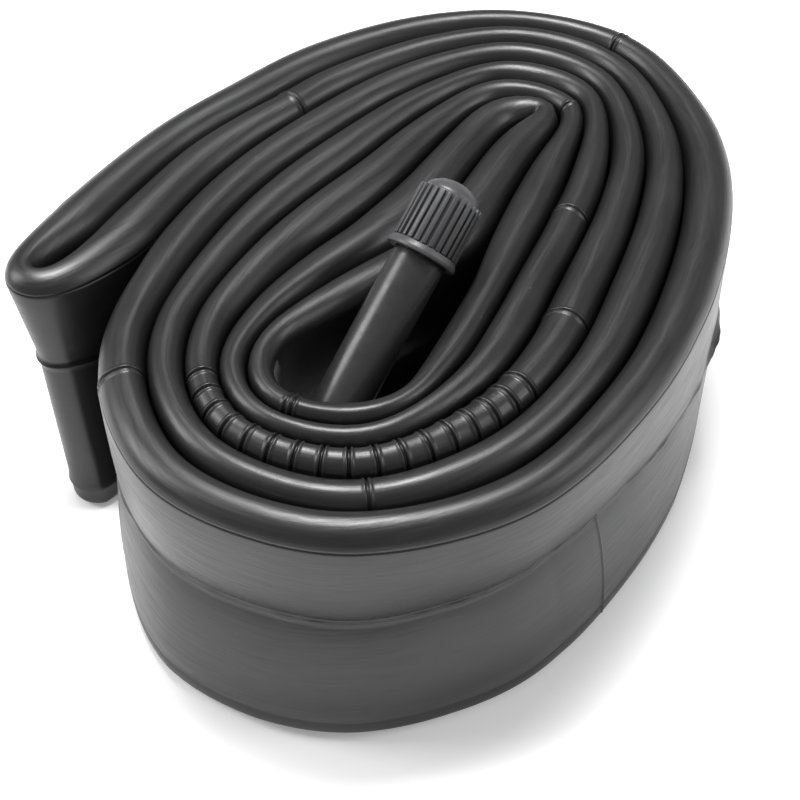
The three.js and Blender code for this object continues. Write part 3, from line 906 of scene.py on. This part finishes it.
def build_stem_sleeve():
    """The rubber sleeve, with its flared foot cut to the lie of the wall."""
    sides = 96
    rings = [(7.6, -1), (7.4, 0.4), (6.6, 2.4), (5.5, 4.6), (4.7, 7), (4.25, 9.6), (SLEEVE_RADIUS, 13)]
    rings += [(SLEEVE_RADIUS, z) for z in (20, 28, 34, SLEEVE_END - 0.6)]
    rings += [(SLEEVE_RADIUS - 0.04, SLEEVE_END), (SLEEVE_RADIUS - 0.14, SLEEVE_END + 0.3)]
    rings += [(SLEEVE_RADIUS - 0.15, SLEEVE_END + 0.8), (THREAD_RADIUS + 0.02, SLEEVE_END + 0.8)]
    rings += [(THREAD_RADIUS + 0.02, SLEEVE_END + 0.1)]
    rings += [(SLEEVE_BORE, SLEEVE_END), (SLEEVE_BORE, 8), (SLEEVE_BORE, -1)]
    tilt = math.tan(math.radians(VALVE_RISE))
    up = VALVE.to_3x3().inverted() @ Vector((0, 0, 1))
    level_up = Vector((up.x, up.y)).normalized()
    points = []
    for radius, height in rings:
        for k in range(sides):
            angle = 2 * math.pi * k / sides
            x, y = radius * math.cos(angle), radius * math.sin(angle)
            rise = (x * level_up.x + y * level_up.y) * tilt
            hold = max(0, 1 - max(height, 0) / 12)
            points.append(Vector((x, y, height + rise * hold)) * MM)
    faces = ring_grid_faces(len(rings), sides)
    mesh = bpy.data.meshes.new("stem_sleeve")
    mesh.from_pydata([tuple(p) for p in points], [], faces.tolist())
    mesh.transform(VALVE)
    return put_in_scene("stem_sleeve", mesh, VALVE_RUBBER, "tube_and_stem", ["stem_rubber"])


def build_valve_patch():
    """The vulcanised patch: a thin pad with feathered edges on the wall round the valve's foot."""
    foot = VALVE.translation / MM
    middle = ROUTE.nearest(foot.x, foot.y)
    at = (middle + np.linspace(-PATCH_REACH, PATCH_REACH, 53)) % ROUTE.length
    heights = np.linspace(*PATCH_HEIGHTS, 33)
    place = ROUTE.sample(ROUTE.place, at)
    left = ROUTE.sample(ROUTE.left, at)
    half = ROUTE.sample(ROUTE.half[1], at)
    front = np.zeros((len(at), len(heights), 3))
    back = np.zeros_like(front)
    along = np.linspace(-1, 1, len(at))
    for row, height in enumerate(heights):
        up = 2 * (row / (len(heights) - 1)) - 1
        thick = PATCH_THICKNESS * np.clip(1 - np.maximum(np.abs(along), abs(up)) ** 6, 0, 1) ** 0.5
        for grid, lift in ((front, half + 0.2 + thick), (back, half * 0.8)):
            grid[:, row, :2] = place + left * lift[:, None]
            grid[:, row, 2] = height
    rows = len(heights)
    points = np.concatenate([front.reshape(-1, 3), back.reshape(-1, 3)])
    faces = []
    total = len(at) * rows
    for i in range(len(at) - 1):
        for j in range(rows - 1):
            quad = (i * rows + j, i * rows + j + 1, (i + 1) * rows + j + 1, (i + 1) * rows + j)
            faces.append(quad)
            faces.append(tuple(total + corner for corner in reversed(quad)))
    edge = [i * rows for i in range(len(at))] + [(len(at) - 1) * rows + j for j in range(1, rows)]
    edge += [i * rows + rows - 1 for i in range(len(at) - 2, -1, -1)] + [j for j in range(rows - 2, 0, -1)]
    for one, two in zip(edge, edge[1:] + edge[:1]):
        faces.append((one, two, total + two, total + one))
    mesh = bpy.data.meshes.new("valve_patch_pad")
    mesh.from_pydata((points * MM).tolist(), [], faces)
    mesh.validate()
    recalculate(mesh)
    return put_in_scene(
        "valve_patch_pad", mesh, VALVE_RUBBER, "tube_and_stem", ["valve_patch"],
    )


def recalculate(mesh):
    work = bmesh.new()
    work.from_mesh(mesh)
    bmesh.ops.recalc_face_normals(work, faces=work.faces)
    work.to_mesh(mesh)
    work.free()


def build_stem_insert():
    """Brass insert with its real outside thread."""
    shoulder = SLEEVE_END + 0.3
    root = THREAD_RADIUS - 0.3
    profile = [
        (AIR_BORE, INSERT_START), (3, INSERT_START), (3, shoulder), (THREAD_RADIUS - 0.05, shoulder),
        (THREAD_RADIUS - 0.05, shoulder + 0.5), (root, shoulder + 0.8), (root, INSERT_END - 0.5),
        (root - 0.4, INSERT_END), (CORE_THREAD_RADIUS, INSERT_END), (CORE_THREAD_RADIUS, INSERT_END - 8.3),
        (AIR_BORE, INSERT_END - 10.3),
    ]
    mesh = turned("stem_insert_turned", profile)
    sharpen(mesh)
    put_in_scene("stem_insert_turned", mesh, BRASS, "tube_and_stem", ["stem_insert"])
    length = INSERT_END - 0.7 - (shoulder + 0.9)
    thread = grown(helix_tree("stem_thread", BRASS), {
        "Turns": length / THREAD_PITCH, "Radius": (root - 0.02) * MM, "Height": length * MM,
        "Start": (shoulder + 0.9) * MM, "Wire radius": 0.34 * MM, "Wire sides": 6,
    })
    put_in_scene("stem_thread", thread, BRASS, "tube_and_stem")


def build_core_spring():
    """The spring stands on the barrel's floor under the pin's collar, wound at one fixed length."""
    foot = INSERT_END - 11.75
    length = 3.7
    wire = grown(helix_tree("core_spring_wire", SPRING_STEEL), {
        "Turns": 5.0, "Radius": 0.9 * MM, "Height": length * MM, "Start": foot * MM,
        "Wire radius": 0.17 * MM, "Wire sides": 8,
    })
    piece = put_in_scene(
        "core_spring_wire", wire, SPRING_STEEL, "core_body", ["core_spring"],
    )
    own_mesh(piece)


def build_cap():
    """Moulded cap: a plain band at its mouth, grip ribs, and a smooth dome that rises inside them."""
    top = CAP_BASE + CAP_LENGTH
    bore = THREAD_RADIUS + 0.2
    root = CAP_RADIUS - 0.45
    rib_top = top - CAP_DOME
    outside = [
        (bore, CAP_BASE + 0.2), (bore + 0.2, CAP_BASE), (CAP_RADIUS + 0.3, CAP_BASE),
        (CAP_RADIUS + 0.4, CAP_BASE + 0.15), (CAP_RADIUS + 0.4, CAP_BASE + 0.6),
        (CAP_RADIUS + 0.02, CAP_BASE + 1.4),
        (root, CAP_BASE + 1.5), (root, rib_top), (4.4, rib_top + 0.05), (4.3, rib_top + 0.4),
        (3.75, rib_top + 1.1), (2.7, top - 0.5), (1.5, top - 0.12), (0.7, top - 0.02), (0, top),
    ]
    inside = [(0, top - 1.2), (bore - 0.6, top - 1.2), (bore - 0.3, top - 2.4), (bore, top - 2.8)]
    mesh = turned("cap_moulding", rounded(outside, 0.14, 3) + inside)
    sharpen(mesh, 40)
    put_in_scene("cap_moulding", mesh, CAP_PLASTIC, "valve_cap", ["cap_shell"])
    length = CAP_LENGTH - 1.5 - CAP_DOME - 0.15
    ribs = grown(rib_tree("cap_grip_ribs", CAP_PLASTIC), {
        "Count": CAP_RIBS, "Radius": (CAP_RADIUS - 0.4) * MM, "Width": 0.92 * MM, "Depth": 0.9 * MM,
        "Length": length * MM, "Start": (CAP_BASE + 1.5 + length / 2) * MM,
    })
    piece = put_in_scene("cap_grip_ribs", ribs, CAP_PLASTIC, "valve_cap")
    bevel = piece.modifiers.new("soft_edges", "BEVEL")
    bevel.width = 0.08 * MM
    bevel.segments = 2


# ---- Assembly ----

build_tube(TUBE_RUBBER)
build_stem_sleeve()
build_valve_patch()
build_stem_insert()
build_core_spring()
build_cap()

CARRIED_OVER = {
    "core_plug": BRASS, "core_barrel": BRASS, "core_pin": BRASS, "pin_seat_cup": BRASS,
    "core_seal_ring": SEAL_RUBBER, "pin_seat_washer": SEAL_RUBBER, "cap_gasket": SEAL_RUBBER,
}
for node, material in CARRIED_OVER.items():
    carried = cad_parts[node]
    carried.data.materials.clear()
    carried.data.materials.append(material)


# ---- Floor and light ----

def build_stage():
    bpy.ops.mesh.primitive_plane_add(size=6, location=(0, 0, -0.0001))
    floor = bpy.context.object
    floor.name = "floor"
    floor.data.materials.append(glowing_white_floor())


def soft_light(name, place, size, watts, aim=(0, 0, 0.02)):
    data = bpy.data.lights.new(name, "AREA")
    data.shape = "RECTANGLE"
    data.size, data.size_y = size
    data.energy = watts
    light = bpy.data.objects.new(name, data)
    light.location = place
    light.rotation_euler = (Vector(aim) - Vector(place)).to_track_quat("-Z", "Y").to_euler()
    bpy.context.scene.collection.objects.link(light)


def light_studio():
    bpy.context.scene.view_settings.view_transform = "Standard"
    world = bpy.data.worlds.new("studio")
    world.use_nodes = True
    background = next(n for n in world.node_tree.nodes if n.type == "BACKGROUND")
    background.inputs["Color"].default_value = (1, 1, 1, 1)
    background.inputs["Strength"].default_value = 0.33
    bpy.context.scene.world = world
    soft_light("overhead_box", (-0.03, 0.2, 0.8), (0.34, 0.24), 9)
    soft_light("left_box", (-0.7, 0.1, 0.5), (0.3, 0.5), 4)
    soft_light("right_box", (0.75, -0.1, 0.45), (0.3, 0.5), 2)


build_stage()
light_studio()
